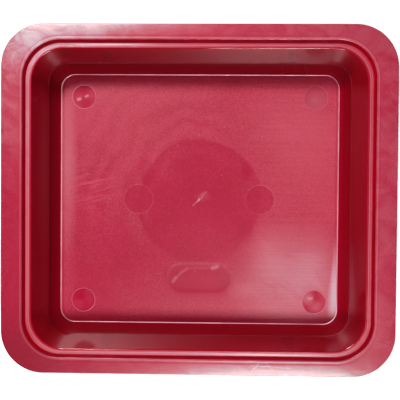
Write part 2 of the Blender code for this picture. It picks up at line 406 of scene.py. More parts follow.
def upper_line():
    """The side that holds the liquid, from the floor to the rim's outer edge."""
    floor_edge = station(FLOOR_EDGE, DEPTH)
    cove = station(COVE, COVE_DROP)
    knee = station(KNEE, KNEE_DROP)
    lip_top = station(LEDGE_EDGE, LEDGE_DROP - LEDGE_LIP_HEIGHT)
    step_foot = station(STEP_FOOT, LEDGE_DROP)
    step_top = station(STEP_TOP, 0)
    rim = station(RIM, FLANGE_DROOP)
    floor_inside = grown(floor_edge, -2 * FLOOR_ROUND, 0)
    lower = rounded_line([(floor_inside, 0), (floor_edge, FLOOR_ROUND), (cove, 0)])
    knee_arc = corner_arc(cove, knee, lip_top, KNEE_ROUND)
    cove_line = conic(lower[-2], cove, knee_arc[0], 1.0, COVE_STEPS)
    lip_back = grown(lip_top, LEDGE_LIP_WIDTH, 0)
    lip_foot = grown(lip_top, LEDGE_LIP_WIDTH + 2 * LEDGE_LIP_HEIGHT, LEDGE_LIP_HEIGHT)
    groove_near = grown(step_top, EDGE_GROOVE_FROM_STEP - EDGE_GROOVE_WIDTH / 2, 0)
    groove = grown(step_top, EDGE_GROOVE_FROM_STEP, EDGE_GROOVE_DEPTH)
    groove_far = grown(step_top, EDGE_GROOVE_FROM_STEP + EDGE_GROOVE_WIDTH / 2, 0)
    over = rounded_line(
        [
            (knee, 0),
            (lip_top, LEDGE_ROUND),
            (grown(lip_top, LEDGE_EDGE_BAND, 0), 0),
            (lip_back, LEDGE_LIP_ROUND),
            (lip_foot, LEDGE_LIP_ROUND),
            (step_foot, CREASE_ROUND),
            (step_top, STEP_ROUND),
            (groove_near, 0),
            (groove, 0),
            (groove_far, 0),
        ]
    )
    crown = (groove_far + rim) / 2
    crown[3] = RIM_TOP - FLANGE_CROWN
    rim_arc = corner_arc(crown, rim, station(RIM, LIP_DROP), RIM_ROUND)
    flange = conic(groove_far, crown, rim_arc[0], 1.0, FLANGE_STEPS)
    return lower[1:-2] + cove_line[:-1] + knee_arc + over[1:] + flange[1:-1] + rim_arc


def under_line():
    """The outside, from the rim's lip down to the floor's underside."""
    wall = WALL_THICKNESS
    lip_outer = station(RIM, LIP_DROP)
    lip_inner = grown(lip_outer, -wall, 0)
    lip_root = grown(station(RIM, FLOOR_THICKNESS), -wall, 0)
    under_step = grown(station(STEP_TOP, 0), wall, FLOOR_THICKNESS)
    under_ledge = grown(station(STEP_FOOT, LEDGE_DROP), wall, FLOOR_THICKNESS)
    outer_wall = grown(station(LEDGE_EDGE, LEDGE_DROP), wall, FLOOR_THICKNESS)
    outer_knee = grown(station(KNEE, KNEE_DROP), wall, KNEE_LOWER * wall)
    outer_cove = grown(station(COVE, COVE_DROP), COVE_OUT * wall, COVE_LOWER * wall)
    outer_edge = grown(station(FLOOR_EDGE, DEPTH), EDGE_OUT * wall, FLOOR_THICKNESS)
    underside = grown(outer_edge, -3 * UNDERSIDE_ROUND, 0)
    line = rounded_line(
        [
            (station(RIM, FLANGE_DROOP), 0),
            (lip_outer, LIP_ROUND),
            (lip_inner, LIP_ROUND),
            (lip_root, LIP_ROUND),
            (under_step, LIP_ROUND),
            (under_ledge, UNDERSIDE_ROUND),
            (outer_wall, LIP_ROUND),
            (outer_knee, UNDERSIDE_ROUND),
            (outer_cove, UNDERSIDE_ROUND),
            (outer_edge, UNDERSIDE_ROUND),
            (underside, 0),
        ]
    )
    return line[1:-1]


def ring_points(level):
    """A station's rounded rectangle, anticlockwise from above, with its sides divided."""
    half_x, half_y, radius, height = level
    corners = []
    for quadrant in range(4):
        side_x = 1 if quadrant in (0, 3) else -1
        side_y = 1 if quadrant in (0, 1) else -1
        for step in range(CORNER_STEPS + 1):
            angle = (quadrant + step / CORNER_STEPS) * math.pi / 2
            x = side_x * (half_x - radius) + radius * math.cos(angle)
            y = side_y * (half_y - radius) + radius * math.sin(angle)
            corners.append(Vector((x, y, height)))
    points = []
    for index, point in enumerate(corners):
        points.append(point)
        if index % (CORNER_STEPS + 1) == CORNER_STEPS:
            after = corners[(index + 1) % len(corners)]
            for step in range(1, SIDE_STEPS):
                points.append(point.lerp(after, step / SIDE_STEPS))
    return points


def loft(bm, stations, finishes):
    """Bands of faces between the stations; returns the first and the last ring of corners."""
    rings = [[bm.verts.new(point) for point in ring_points(level)] for level in stations]
    for inner, outer, finish in zip(rings, rings[1:], finishes):
        bridge(bm, inner, outer, finish)
    return rings[0], rings[-1]


def bridge(bm, inner, outer, finish):
    count = len(inner)
    for index in range(count):
        after = (index + 1) % count
        face = bm.faces.new((inner[index], inner[after], outer[after], outer[index]))
        face.material_index = finish


# Floor plates and their marks ------------


def loop_points(mark, radius):
    """Points round a disc, or round an oblong whose ends have that radius."""
    x, y, straight = mark
    points = []
    for step in range(MARK_SEGMENTS):
        angle = (step + 0.5) * 2 * math.pi / MARK_SEGMENTS
        side = math.copysign(straight / 2, math.cos(angle))
        points.append((x + side + radius * math.cos(angle), y + radius * math.sin(angle)))
    return points


def add_mark(bm, mark, profile, base, finish, relief):
    """Turns a profile of (radius, height) round a middle and closes its end; returns its first loop."""
    loops = []
    for radius, height in profile:
        loop = []
        for x, y in loop_points(mark, radius):
            loop.append(bm.verts.new((x, y, base + height + relief(x, y))))
        loops.append(loop)
    for loop, after in zip(loops, loops[1:]):
        bridge(bm, loop, after, finish)
    bm.faces.new(loops[-1]).material_index = finish
    return loops[0]


def inside_mark(x, y, mark, radius):
    middle_x, middle_y, straight = mark
    beyond = max(abs(x - middle_x) - straight / 2, 0)
    return math.hypot(beyond, y - middle_y) < radius


def add_plate(bm, rim, holes, base, finish, relief):
    """Fills a ring of corners with fine triangles, but for the holes, given as (loop, mark, radius)."""
    corners = list(rim)
    edges = [(index, (index + 1) % len(rim)) for index in range(len(rim))]
    for loop, _, _ in holes:
        first = len(corners)
        corners += loop
        edges += [(first + i, first + (i + 1) % len(loop)) for i in range(len(loop))]
    flat = [corner.co.xy for corner in corners]
    half_x = max(point.x for point in flat)
    half_y = max(point.y for point in flat)
    columns = int(half_x / FLOOR_SPACING)
    rows = int(half_y / FLOOR_SPACING)
    for row in range(-rows, rows + 1):
        for column in range(-columns, columns + 1):
            x = (column + (row % 2) / 2) * FLOOR_SPACING
            y = row * FLOOR_SPACING
            if inset_from_edge(x, y, half_x, half_y) < FLOOR_MARGIN:
                continue
            if any(inside_mark(x, y, mark, radius + FLOOR_MARGIN) for _, mark, radius in holes):
                continue
            flat.append(Vector((x, y)))
    points, _, triangles, sources, _, _ = delaunay_2d_cdt(flat, edges, [], 0, WELD)
    verts = []
    for point, source in zip(points, sources):
        if source and source[0] < len(corners):
            verts.append(corners[source[0]])
        else:
            verts.append(bm.verts.new((point.x, point.y, base + relief(point.x, point.y))))
    for triangle in triangles:
        middle = sum((points[index] for index in triangle), Vector((0, 0))) / 3
        if any(inside_mark(middle.x, middle.y, mark, radius) for _, mark, radius in holes):
            continue
        bm.faces.new([verts[index] for index in triangle]).material_index = finish


def inset_from_edge(x, y, half_x, half_y):
    """How far inside the floor's rounded outline a point is."""
    radius = FLOOR_EDGE[2]
    beyond_x = abs(x) - (half_x - radius)
    beyond_y = abs(y) - (half_y - radius)
    if beyond_x > 0 and beyond_y > 0:
        return radius - math.hypot(beyond_x, beyond_y)
    return min(half_x - abs(x), half_y - abs(y))


def floor_relief(x, y):
    """The moulded floor's slight waves, which fade out at the walls."""
    half_x = FLOOR_EDGE[0] / 2 - FLOOR_ROUND
    half_y = FLOOR_EDGE[1] / 2 - FLOOR_ROUND
    fade = min(1.0, max(0.0, inset_from_edge(x, y, half_x, half_y)) / FLOOR_WARP_FADE)
    fade = fade * fade * (3 - 2 * fade)
    wave = noise.noise(Vector((x * FLOOR_WARP_SCALE, y * FLOOR_WARP_SCALE, 0.3)))
    return FLOOR_WARP * fade * wave


def no_relief(x, y):
    return 0.0


# Profiles of marks and seats, inward: (distance beyond the mark's radius, height over the plate)
CORNER_PROFILE = [
    (0.00045, 0.0),
    (0.00025, 0.00006),
    (0.00005, 0.00007),
    (-0.0001, -0.00012),
    (-0.00035, -0.00016),
    (-0.004, -0.0002),
    (-0.008, -0.00022),
]
MIDDLE_PROFILE = [
    (0.0008, 0.0),
    (0.0003, -0.00001),
    (0.0, -0.00005),
    (-0.0004, -0.00007),
    (-0.006, -0.00006),
    (-0.012, -0.00005),
]
OBLONG_PROFILE = [
    (0.001, 0.0),
    (0.0, -0.00004),
    (-0.0012, -0.00012),
    (-0.0028, -0.00019),
    (-0.006, -0.00023),
    (-0.011, -0.00024),
]
GATE_PROFILE = [
    (0.0006, 0.0),
    (0.0002, 0.00006),
    (-0.0002, -0.00004),
    (-0.0008, -0.00012),
    (-0.0014, -0.00008),
    (-0.0017, 0.0001),
]
SEAT_PROFILE = [
    (0.0006, 0.0),
    (0.0001, -0.0002),
    (0.0, -0.0006),
    (-0.0001, -SEAT_HEIGHT + 0.0003),
    (-0.0003, -SEAT_HEIGHT),
    (-SEAT_WALL + 0.0003, -SEAT_HEIGHT),
    (-SEAT_WALL, -SEAT_HEIGHT + 0.0003),
    (-SEAT_WALL, -0.00005),
    (-SEAT_WALL - 0.0004, 0.0),
]
BOSS_PROFILE = [
    (0.0008, 0.0),
    (0.0002, -0.0001),
    (0.0, -0.0005),
    (-0.0004, -GATE_BOSS_HEIGHT),
    (-0.0015, -GATE_BOSS_HEIGHT),
    (-0.0018, -GATE_BOSS_HEIGHT + 0.0003),
]


def foot_nodes():
    """(node, middle, mark's diameter) of each foot, from the frame."""
    feet = []
    for node in sorted(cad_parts):
        if node == "tray_body":
            continue
        low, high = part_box(node)
        corner = node.startswith("foot_")
        diameter = CORNER_MARK_DIAMETER if corner else MIDDLE_MARK_DIAMETER
        feet.append((node, (low + high) / 2, diameter))
    return feet


def add_marked_plate(bm, rim, marks, base, finish, relief):
    """A plate with marks in it, each given as (mark, radius, profile, finish)."""
    holes = []
    for mark, radius, profile, mark_finish in marks:
        turned = [(radius + offset, height) for offset, height in profile]
        loop = add_mark(bm, mark, turned, base, mark_finish, relief)
        holes.append((loop, mark, turned[0][0] * HOLE_SHARE))
    add_plate(bm, rim, holes, base, finish, relief)


def floor_marks():
    marks = []
    for node, middle, diameter in foot_nodes():
        corner = node.startswith("foot_")
        profile = CORNER_PROFILE if corner else MIDDLE_PROFILE
        finish = DISC if corner else FLOOR
        radius = diameter / 2 + (CORNER_MARK_MARGIN if corner else 0.0)
        marks.append(((middle.x, middle.y, 0.0), radius, profile, finish))
    straight = OBLONG_LENGTH - OBLONG_WIDTH
    marks.append(((0.0, OBLONG_AT_Y, straight), OBLONG_WIDTH / 2, OBLONG_PROFILE, FLOOR))
    marks.append(((0.0, 0.0, 0.0), GATE_DIMPLE_DIAMETER / 2, GATE_PROFILE, FLOOR))
    return marks


def underside_marks():
    marks = []
    for _, middle, diameter in foot_nodes():
        marks.append(((middle.x, middle.y, 0.0), diameter / 2, SEAT_PROFILE, UNDER))
    marks.append(((0.0, 0.0, 0.0), GATE_BOSS_DIAMETER / 2, BOSS_PROFILE, UNDER))
    return marks


# Lugs ------------


def outer_wall_half_width(drop):
    top = LEDGE_EDGE[1] / 2 + WALL_THICKNESS
    foot = KNEE[1] / 2 + WALL_THICKNESS
    share = (drop - LEDGE_DROP) / (KNEE_DROP - LEDGE_DROP)
    return top + (foot - top) * share


def make_lugs(materials):
    """Four rounded upright wedges that the tray's mesh is joined with."""
    bm = bmesh.new()
    for side_x, side_y in ((-1, -1), (1, -1), (1, 1), (-1, 1)):
        for vert in bmesh.ops.create_cube(bm, size=1.0)["verts"]:
            at_top = vert.co.z > 0
            drop = LUG_TOP_DROP if at_top else LUG_FOOT_DROP
            width = LUG_TOP_WIDTH if at_top else LUG_FOOT_WIDTH
            reach = LUG_PROUD if vert.co.y > 0 else -LUG_ROOT_DEPTH
            vert.co.x = side_x * LUG_AT_X + vert.co.x * width
            vert.co.y = side_y * (outer_wall_half_width(drop) + reach)
            vert.co.z = RIM_TOP - drop
    bmesh.ops.recalc_face_normals(bm, faces=bm.faces)
    rounding = {"offset": LUG_ROUND, "offset_type": "OFFSET", "segments": 3, "profile": 0.5}
    bmesh.ops.bevel(bm, geom=bm.edges[:], affect="EDGES", **rounding)
    for face in bm.faces:
        face.material_index = UNDER
    return new_object("lug_blocks", bm, materials)


# Objects ------------


def new_object(name, bm, materials):
    mesh = bpy.data.meshes.new(name)
    bm.to_mesh(mesh)
    bm.free()
    for material in materials:
        mesh.materials.append(material)
    obj = bpy.data.objects.new(name, mesh)
    bpy.context.scene.collection.objects.link(obj)
    return obj


def finish_shading(obj, angle):
    obj.data.shade_smooth()
    obj.data.set_sharp_from_angle(angle=math.radians(angle))
    weighted = obj.modifiers.new("weighted", "WEIGHTED_NORMAL")
    weighted.keep_sharp = True


def apply_modifiers(obj):
    evaluated = obj.evaluated_get(bpy.context.evaluated_depsgraph_get())
    mesh = bpy.data.meshes.new_from_object(evaluated)
    obj.modifiers.clear()
    obj.data = mesh


def finish_of(level):
    """Satin on the flange and the ledge, duller on the step between them, polished on the walls."""
    drop = RIM_TOP - level[3]
    within_ledge = LEDGE_EDGE[0] / 2 + LEDGE_EDGE_BAND < level[0] < STEP_FOOT[0] / 2 - CREASE_ROUND
    on_ledge = within_ledge and LEDGE_DROP - drop < 2 * LEDGE_LIP_HEIGHT
    on_flange = level[0] > STEP_TOP[0] / 2 - STEP_ROUND / 3
    if on_ledge or on_flange:
        return SATIN
    return STEP if level[0] > STEP_FOOT[0] / 2 - 2 * CREASE_ROUND else WALL


def make_tray(materials):
    """The whole moulding as one closed mesh."""
    bm = bmesh.new()
    upper = upper_line()
    under = under_line()
    finishes = [finish_of(level) for level in upper]
    finishes += [SATIN] * (ROUND_STEPS + 1)
    finishes += [UNDER] * (len(under) - ROUND_STEPS - 1)
    floor_rim, under_rim = loft(bm, upper + under, finishes)
    add_marked_plate(bm, floor_rim, floor_marks(), FLOOR_TOP, FLOOR, floor_relief)
    add_marked_plate(bm, under_rim, underside_marks(), UNDERSIDE, UNDER, no_relief)
    bmesh.ops.recalc_face_normals(bm, faces=bm.faces)
    tray = new_object("tray_moulding", bm, materials)
    lugs = make_lugs(materials)
    join = tray.modifiers.new("lugs", "BOOLEAN")
    join.operation = "UNION"
    join.solver = "MANIFOLD"
    join.object = lugs
    apply_modifiers(tray)
    bpy.data.objects.remove(lugs)
    finish_shading(tray, TRAY_SHARP)
    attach(tray, "root")
    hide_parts("tray_body")


# A foot's outside: (distance beyond its radius, height over its top)
FOOT_PROFILE = [
    (-0.0004, 0.0),
    (-0.0001, -0.0001),
    (0.0, -0.0004),
    (0.0, -FOOT_HEIGHT + 0.0007),
    (-0.0001, -FOOT_HEIGHT + 0.0004),
    (-0.0003, -FOOT_HEIGHT + 0.0001),
    (-0.0007, -FOOT_HEIGHT),
]
TREAD_PITCH = 0.0024
TREAD_GROOVE = 0.0009
TREAD_DEPTH = 0.0005
TREAD_BEVEL = 0.2 * TREAD_GROOVE


def foot_section(radius):
    """From the middle of the top, round the outside, to the treaded underside."""
    line = [(radius + offset, FOOT_HEIGHT + height) for offset, height in FOOT_PROFILE]
    edge = line[-1][0]
    line = [(radius * 0.5, FOOT_HEIGHT), *line]
    while edge > TREAD_PITCH * 1.5:
        groove_out = edge - (TREAD_PITCH - TREAD_GROOVE)
        groove_in = groove_out - TREAD_GROOVE
        line += [(groove_out, 0.0), (groove_out - TREAD_BEVEL, TREAD_DEPTH)]
        line += [(groove_in + TREAD_BEVEL, TREAD_DEPTH), (groove_in, 0.0)]
        edge = groove_in
    line.append((edge * 0.5, 0.0))
    return line


def make_foot(node, middle, diameter, material):
    """A rubber foot with ringed tread, standing for its CAD node."""
    bm = bmesh.new()
    radius = diameter / 2 - SEAT_WALL - FIT_GAP
    top_loop = add_mark(bm, (middle.x, middle.y, 0.0), foot_section(radius), 0.0, 0, no_relief)
    bm.faces.new(top_loop)
    bmesh.ops.recalc_face_normals(bm, faces=bm.faces)
    foot = new_object("rubber_" + node, bm, [material])
    finish_shading(foot, FOOT_SHARP)
    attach(foot, "root")
    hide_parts(node)


# Materials ------------


class Graph:
    """A material's node tree, with short calls for the nodes used here."""

    def __init__(self, name):
        self.material = bpy.data.materials.new(name)
        self.material.use_nodes = True
        self.nodes = self.material.node_tree.nodes
        self.links = self.material.node_tree.links
        self.shader = self.nodes["Principled BSDF"]
        self.place = self.node("TexCoord")["Object"]
        self.x, self.y, self.height = self.node("SeparateXYZ", (0, self.place))

    def put(self, socket, value):
        if isinstance(value, bpy.types.NodeSocket):
            self.links.new(value, socket)
        else:
            socket.default_value = value

    def set(self, name, value):
        self.put(self.shader.inputs[name], value)

    def node(self, kind, *inputs, **settings):
        """A new node with its settings, and its inputs as (name or number, value) pairs."""
        node = self.nodes.new("ShaderNode" + kind)
        for name, value in settings.items():
            setattr(node, name, value)
        for name, value in inputs:
            self.put(node.inputs[name], value)
        return node.outputs

    def math(self, operation, a, b=0.0, clamp=False):
        return self.node("Math", (0, a), (1, b), operation=operation, use_clamp=clamp)[0]

    def plus(self, total, *others):
        for other in others:
            total = self.math("ADD", total, other)
        return total

    def times(self, product, *others):
        for other in others:
            product = self.math("MULTIPLY", product, other)
        return product

    def minus(self, a, b):
        return self.math("SUBTRACT", a, b)

    def either_side(self, value, centre=0.0):
        """How far a value is from a centre, on either side of it."""
        return self.math("ABSOLUTE", self.minus(value, centre) if centre else value)

    def share(self, value, amount=1.0):
        """A value times an amount, kept between 0 and 1."""
        return self.math("MULTIPLY", value, amount, True)

    def vector(self, operation, a, b=(0.0, 0.0, 0.0)):
        outputs = self.node("VectorMath", (0, a), (1, b), operation=operation)
        return outputs["Value" if operation in ("LENGTH", "DOT_PRODUCT") else "Vector"]

    def noise(self, vector, scale, detail, roughness, distortion=0.0):
        grain = (("Detail", detail), ("Roughness", roughness), ("Distortion", distortion))
        return self.node("TexNoise", ("Vector", vector), ("Scale", scale), *grain)["Fac"]

    def cloud(self, scale, detail=2.0, roughness=0.6):
        """Noise that runs alike in every direction."""
        return self.noise(self.place, scale, detail, roughness)

    def drawn(self, scales, turn=0.0, detail=2.0, roughness=0.6, distortion=0.0):
        """Noise with its own scale along each axis; a turn of -a slants its grain by a."""
        turned = self.node("VectorRotate", ("Vector", self.place), ("Angle", turn), rotation_type="Z_AXIS")
        places = self.vector("MULTIPLY", turned["Vector"], scales)
        return self.noise(places, 1.0, detail, roughness, distortion)

    def range(self, value, low, high, to_low=0.0, to_high=1.0, smooth=True):
        ends = (("From Min", low), ("From Max", high), ("To Min", to_low), ("To Max", to_high))
        kind = "SMOOTHSTEP" if smooth else "LINEAR"
        return self.node("MapRange", ("Value", value), *ends, interpolation_type=kind, clamp=True)["Result"]

    def mix(self, share, a, b):
        return self.node("Mix", ("Factor", share), ("A", a), ("B", b), data_type="RGBA")["Result"]

    def tint(self, colour, share, tone):
        """A colour moved towards a tone by a share, from place to place."""
        return self.mix(share, colour, rgba(tone))

    def bump(self, height, distance, strength=1.0, under=None):
        inputs = [("Strength", strength), ("Distance", distance), ("Height", height)]
        if under is not None:
            inputs.append(("Normal", under))
        return self.node("Bump", *inputs)["Normal"]

    def away_from(self, x, y, stretch_x=1.0, stretch_y=1.0):
        """Distance from a point of the plan, with X and Y stretched."""
        moved = self.vector("SUBTRACT", self.place, (x, y, 0.0))
        flat = self.vector("MULTIPLY", moved, (stretch_x, stretch_y, 0.0))
        return self.vector("LENGTH", flat)

    def blob(self, x, y, radius, *stretch):
        """1 at a point of the plan, falling to 0 at a radius."""
        return self.range(self.away_from(x, y, *stretch), 0.0, radius, 1.0, 0.0)

    def patches(self, table):
        """The blobs of a table of patches, each times its amount."""
        return [self.times(self.blob(*place), amount) for *place, amount in table]

    def patched(self, colour, table, tone, share=1.0):
        """A colour with a table's patches of a tone on it, all of them times a share."""
        for patch in self.patches(table):
            colour = self.tint(colour, self.times(patch, share), tone)
        return colour

    def joined(self, x, y):
        return self.node("CombineXYZ", (0, x), (1, y))[0]

    def length_of(self, x, y):
        return self.vector("LENGTH", self.joined(x, y))

    def band(self, value, centre, half_width):
        """1 where a value is at a centre, falling to 0 on both sides of it."""
        return self.range(self.either_side(value, centre), 0.0, half_width, 1.0, 0.0)

    def rounded(self, outline, middle_y=0.0):
        """Distance outside a rounded rectangle of the plan, negative inside."""
        length, width, radius = outline
        beyond_x = self.minus(self.either_side(self.x), length / 2 - radius)
        beyond_y = self.minus(self.either_side(self.y, middle_y), width / 2 - radius)
        corner = self.length_of(self.math("MAXIMUM", beyond_x, 0.0), self.math("MAXIMUM", beyond_y, 0.0))
        side = self.math("MINIMUM", self.math("MAXIMUM", beyond_x, beyond_y), 0.0)
        return self.minus(self.plus(corner, side), radius)

    def voronoi(self, vector, scale):
        return self.node("TexVoronoi", ("Vector", vector), ("Scale", scale))["Distance"]

    def hairline(self, start, end, width, wobble):
        """1 on a line between two points of the plan, 0 beside it."""
        a = Vector((*start, 0.0))
        b = Vector((*end, 0.0))
        along = (b - a).normalized()
        across = Vector((-along.y, along.x, 0.0))
        moved = self.vector("SUBTRACT", self.place, tuple(a))
        side = self.vector("DOT_PRODUCT", moved, tuple(across))
        run = self.vector("DOT_PRODUCT", moved, tuple(along))
        drift = self.times(self.minus(self.cloud(HAIRLINE_DRIFT, 2.0, 0.5), 0.5), wobble)
        off = self.either_side(self.plus(side, drift))
        on_line = self.range(off, 0.0, width, 1.0, 0.0)
        length = (b - a).length
        begun = self.range(run, -HAIRLINE_FADE, HAIRLINE_FADE)
        ended = self.range(run, length - HAIRLINE_FADE, length + HAIRLINE_FADE, 1.0, 0.0)
        return self.times(on_line, begun, ended)

    def lined(self, colour, table, wobble, tone):
        """A colour with a table's hairlines of a tone on it."""
        for start, end, width, amount in table:
            line = self.hairline(start, end, width, wobble)
            colour = self.tint(colour, self.times(line, amount), tone)
        return colour


def rgba(colour):
    return (*colour, 1.0)


def grey(level):
    return (level, level, level, 1.0)


def crimson_base(graph, colour=CRIMSON, deep=CRIMSON_DEEP):
    """Crimson with faint cloudy shifts and paler grains, as pigment in moulded plastic has."""
    cloud = graph.cloud(22.0, 3.0, 0.55)
    tone = graph.mix(graph.range(cloud, 0.3, 0.7), rgba(deep), rgba(colour))
    speckle = graph.cloud(900.0, 1.0, 0.5)
    lighter = tuple(channel * SPECKLE_LIGHTER for channel in colour)
    return graph.tint(tone, graph.range(speckle, 0.55, 0.8, 0.0, 0.4), lighter)


def plastic(graph, colour, roughness, skin, normal):
    """Sets what one finish of the moulding looks like; returns its material."""
    specular, weight, coat_roughness = skin
    graph.set("Base Color", colour)
    graph.set("Roughness", roughness)
    graph.set("IOR", PLASTIC_IOR)
    graph.set("Specular IOR Level", specular)
    graph.set("Coat Weight", weight)
    graph.set("Coat Roughness", coat_roughness)
    graph.set("Coat IOR", COAT_IOR)
    graph.set("Normal", normal)
    graph.set("Coat Normal", normal)
    return graph.material


def flow_bands(graph):
    """Wavy rings round the gate, as the melt leaves them, strongest to the upper left."""
    bend = graph.times(graph.cloud(15.0, 3.0), FLOW_BEND)
    bent = graph.plus(graph.away_from(*GATE), bend)
    waves = graph.math("SINE", graph.times(bent, 2 * math.pi / FLOW_PITCH))
    crests = graph.range(waves, -0.8, 0.7)
    near = graph.range(graph.away_from(*FLOW_MIDDLE), 0.04, 0.11, 1.0, 0.1)
    clear = graph.range(graph.away_from(*GATE), 0.03, 0.065)
    return graph.times(crests, near, clear)


def floor_painted_sheen(graph):
    """How much painted sheen, a pale haze standing for the lamps' soft reflection, the floor's satin skin
    takes from place to place.
    """
    # painted sheen outside a round area that the gate's flow polished, fainter at its front
    drift = graph.cloud(16.0, 2.0, 0.5)
    wobble = graph.times(graph.minus(drift, 0.5), POLISHED_WOBBLE)
    from_gate = graph.plus(graph.away_from(*GATE), wobble)
    outside = graph.range(from_gate, POLISHED_RADIUS - 0.0018, POLISHED_RADIUS + 0.001)
    rear = graph.range(graph.y, -0.065, -0.02, 0.35, 1.0)
    cloud = graph.drawn((16.0, 25.6, 16.0), 0.5, 4.0, 0.6, 0.6)
    # painted sheen in fine ground lines along X over the right half
    lines = graph.drawn((7.0, 700.0, 1.0))
    lines = graph.times(graph.range(lines, 0.3, 0.7, -0.22, 0.26), graph.range(graph.x, 0.02, 0.09))
    # painted sheen in slanting streaks by the left wall
    streaks = graph.drawn((28.0, 260.0, 1.0), -0.25, 3.0)
    streaks = graph.times(graph.range(streaks, 0.45, 0.7, 0.0, 1.4), graph.blob(*STREAKS_SPOT))
    painted_sheen = graph.plus(
        graph.times(outside, rear, POLISHED_AMOUNT),
        graph.range(cloud, 0.35, 0.75, 0.0, 0.26),
        graph.times(flow_bands(graph), FLOW_AMOUNT),
        lines,
        streaks,
        # painted light: a paler strip by the left wall
        graph.range(graph.x, -0.138, -0.122, 0.35, 0.0),
        *graph.patches(FLOOR_SHEEN_PATCHES),
    )
    # the middle marks are smoother than the floor round them and take less painted sheen, with a painted
    # highlight at their edge
    middle_x = next(centre.x for node, centre, _ in foot_nodes() if node == "pad_right")
    mark_radius = MIDDLE_MARK_DIAMETER / 2
    pad = graph.length_of(graph.minus(graph.either_side(graph.x), middle_x), graph.y)
    smoother = graph.range(pad, mark_radius - 0.0005, mark_radius, 0.35, 1.0)
    edge = graph.times(graph.band(pad, mark_radius, 0.0006), 0.95)
    # the oblong is smoother too and takes less painted sheen
    oblong = graph.rounded((OBLONG_LENGTH, OBLONG_WIDTH, OBLONG_WIDTH / 2), OBLONG_AT_Y)
    return graph.plus(graph.times(painted_sheen, smoother), edge, graph.range(oblong, -0.004, 0.001, -0.35, 0.0))


def floor_painted_glare(graph):
    """Painted glare, a whiter haze toward the front right corner with the ground lines of the mould in it,
    and a painted highlight by the right wall.
    """
    marble = graph.drawn((26.0, 57.2, 26.0), 0.6, 4.0, 0.6, 1.0)
    lines = graph.drawn((9.0, 620.0, 1.0), 0.0, 3.0)
    marble = graph.range(marble, 0.34, 0.66, 0.78, 1.06)
    lines = graph.range(lines, 0.35, 0.7, -0.12, 0.14)
    painted_glare = graph.times(graph.plus(*graph.patches(FLOOR_GLARE)), graph.plus(marble, lines))
    # a painted highlight: a lick of light along the flat floor by the right wall
    inner = graph.range(graph.y, -0.045, -0.112, 0.137, 0.13)
    rear = graph.range(graph.y, -0.03, -0.1)
    front = graph.range(graph.y, -0.1245, -0.113)
    lick = graph.times(graph.range(graph.x, inner, 0.1388), rear, front)
    return graph.plus(painted_glare, graph.times(lick, LICK_AMOUNT))


def floor_material():
    graph = Graph("tray_floor_plastic")
    painted_sheen = floor_painted_sheen(graph)
    grain = graph.cloud(1050.0)
    grained = graph.plus(painted_sheen, graph.range(grain, 0.3, 0.7, -0.5, 0.55))
    # painted sheen in a pale pink over the crimson
    colour = graph.tint(crimson_base(graph), graph.share(grained, FLOOR_SHEEN), SHEEN_AND_SCUFF_PINK)
    # painted shade: a dark line just inside the floor's edge, strongest on the left
    edge = graph.rounded(FLOOR_EDGE)
    shade = graph.times(graph.band(edge, -0.0021, 0.0014), graph.range(graph.x, -0.13, -0.1, 0.95, 0.55))
    colour = graph.tint(colour, shade, WALL_CRIMSON)
    # painted highlights along the oblong's edge and at the gate
    colour = graph.lined(colour, FLOOR_HIGHLIGHT_STREAKS, 0.001, WEAR_AND_HIGHLIGHT_PALE)
    # painted glare toward the front right corner
    colour = graph.tint(colour, graph.share(floor_painted_glare(graph)), GLARE_PINK)
    # a few pale specks
    dots = graph.voronoi(graph.place, 130.0)
    colour = graph.tint(colour, graph.range(dots, 0.03, 0.045, 0.55, 0.0), WEAR_AND_HIGHLIGHT_PALE)
    roughness = graph.range(painted_sheen, 0.0, 1.0, 0.42, 0.6)
    normal = graph.bump(graph.cloud(700.0), 0.00003, 0.35)
    normal = graph.bump(flow_bands(graph), 0.0001, 0.3, normal)
    return plastic(graph, colour, roughness, FLOOR_SKIN, normal)


def lug_sinks(graph):
    """1 on the sunk places opposite the lugs outside, 0 elsewhere."""
    foot = RIM_TOP - LUG_FOOT_DROP
    top = RIM_TOP - LUG_TOP_DROP
    across = graph.either_side(graph.either_side(graph.x), LUG_AT_X)
    half = graph.range(graph.height, foot, top, LUG_FOOT_WIDTH / 2, LUG_TOP_WIDTH / 2, False)
    inside = graph.range(graph.minus(across, half), -0.002, 0.001, 1.0, 0.0)
    above_foot = graph.range(graph.height, foot - 0.0006, foot + 0.0004)
    below_top = graph.range(graph.height, top, top + 0.008, 1.0, 0.0)
    front_back = graph.range(graph.either_side(graph.y), 0.128, 0.132)
    return graph.times(inside, above_foot, below_top, front_back)


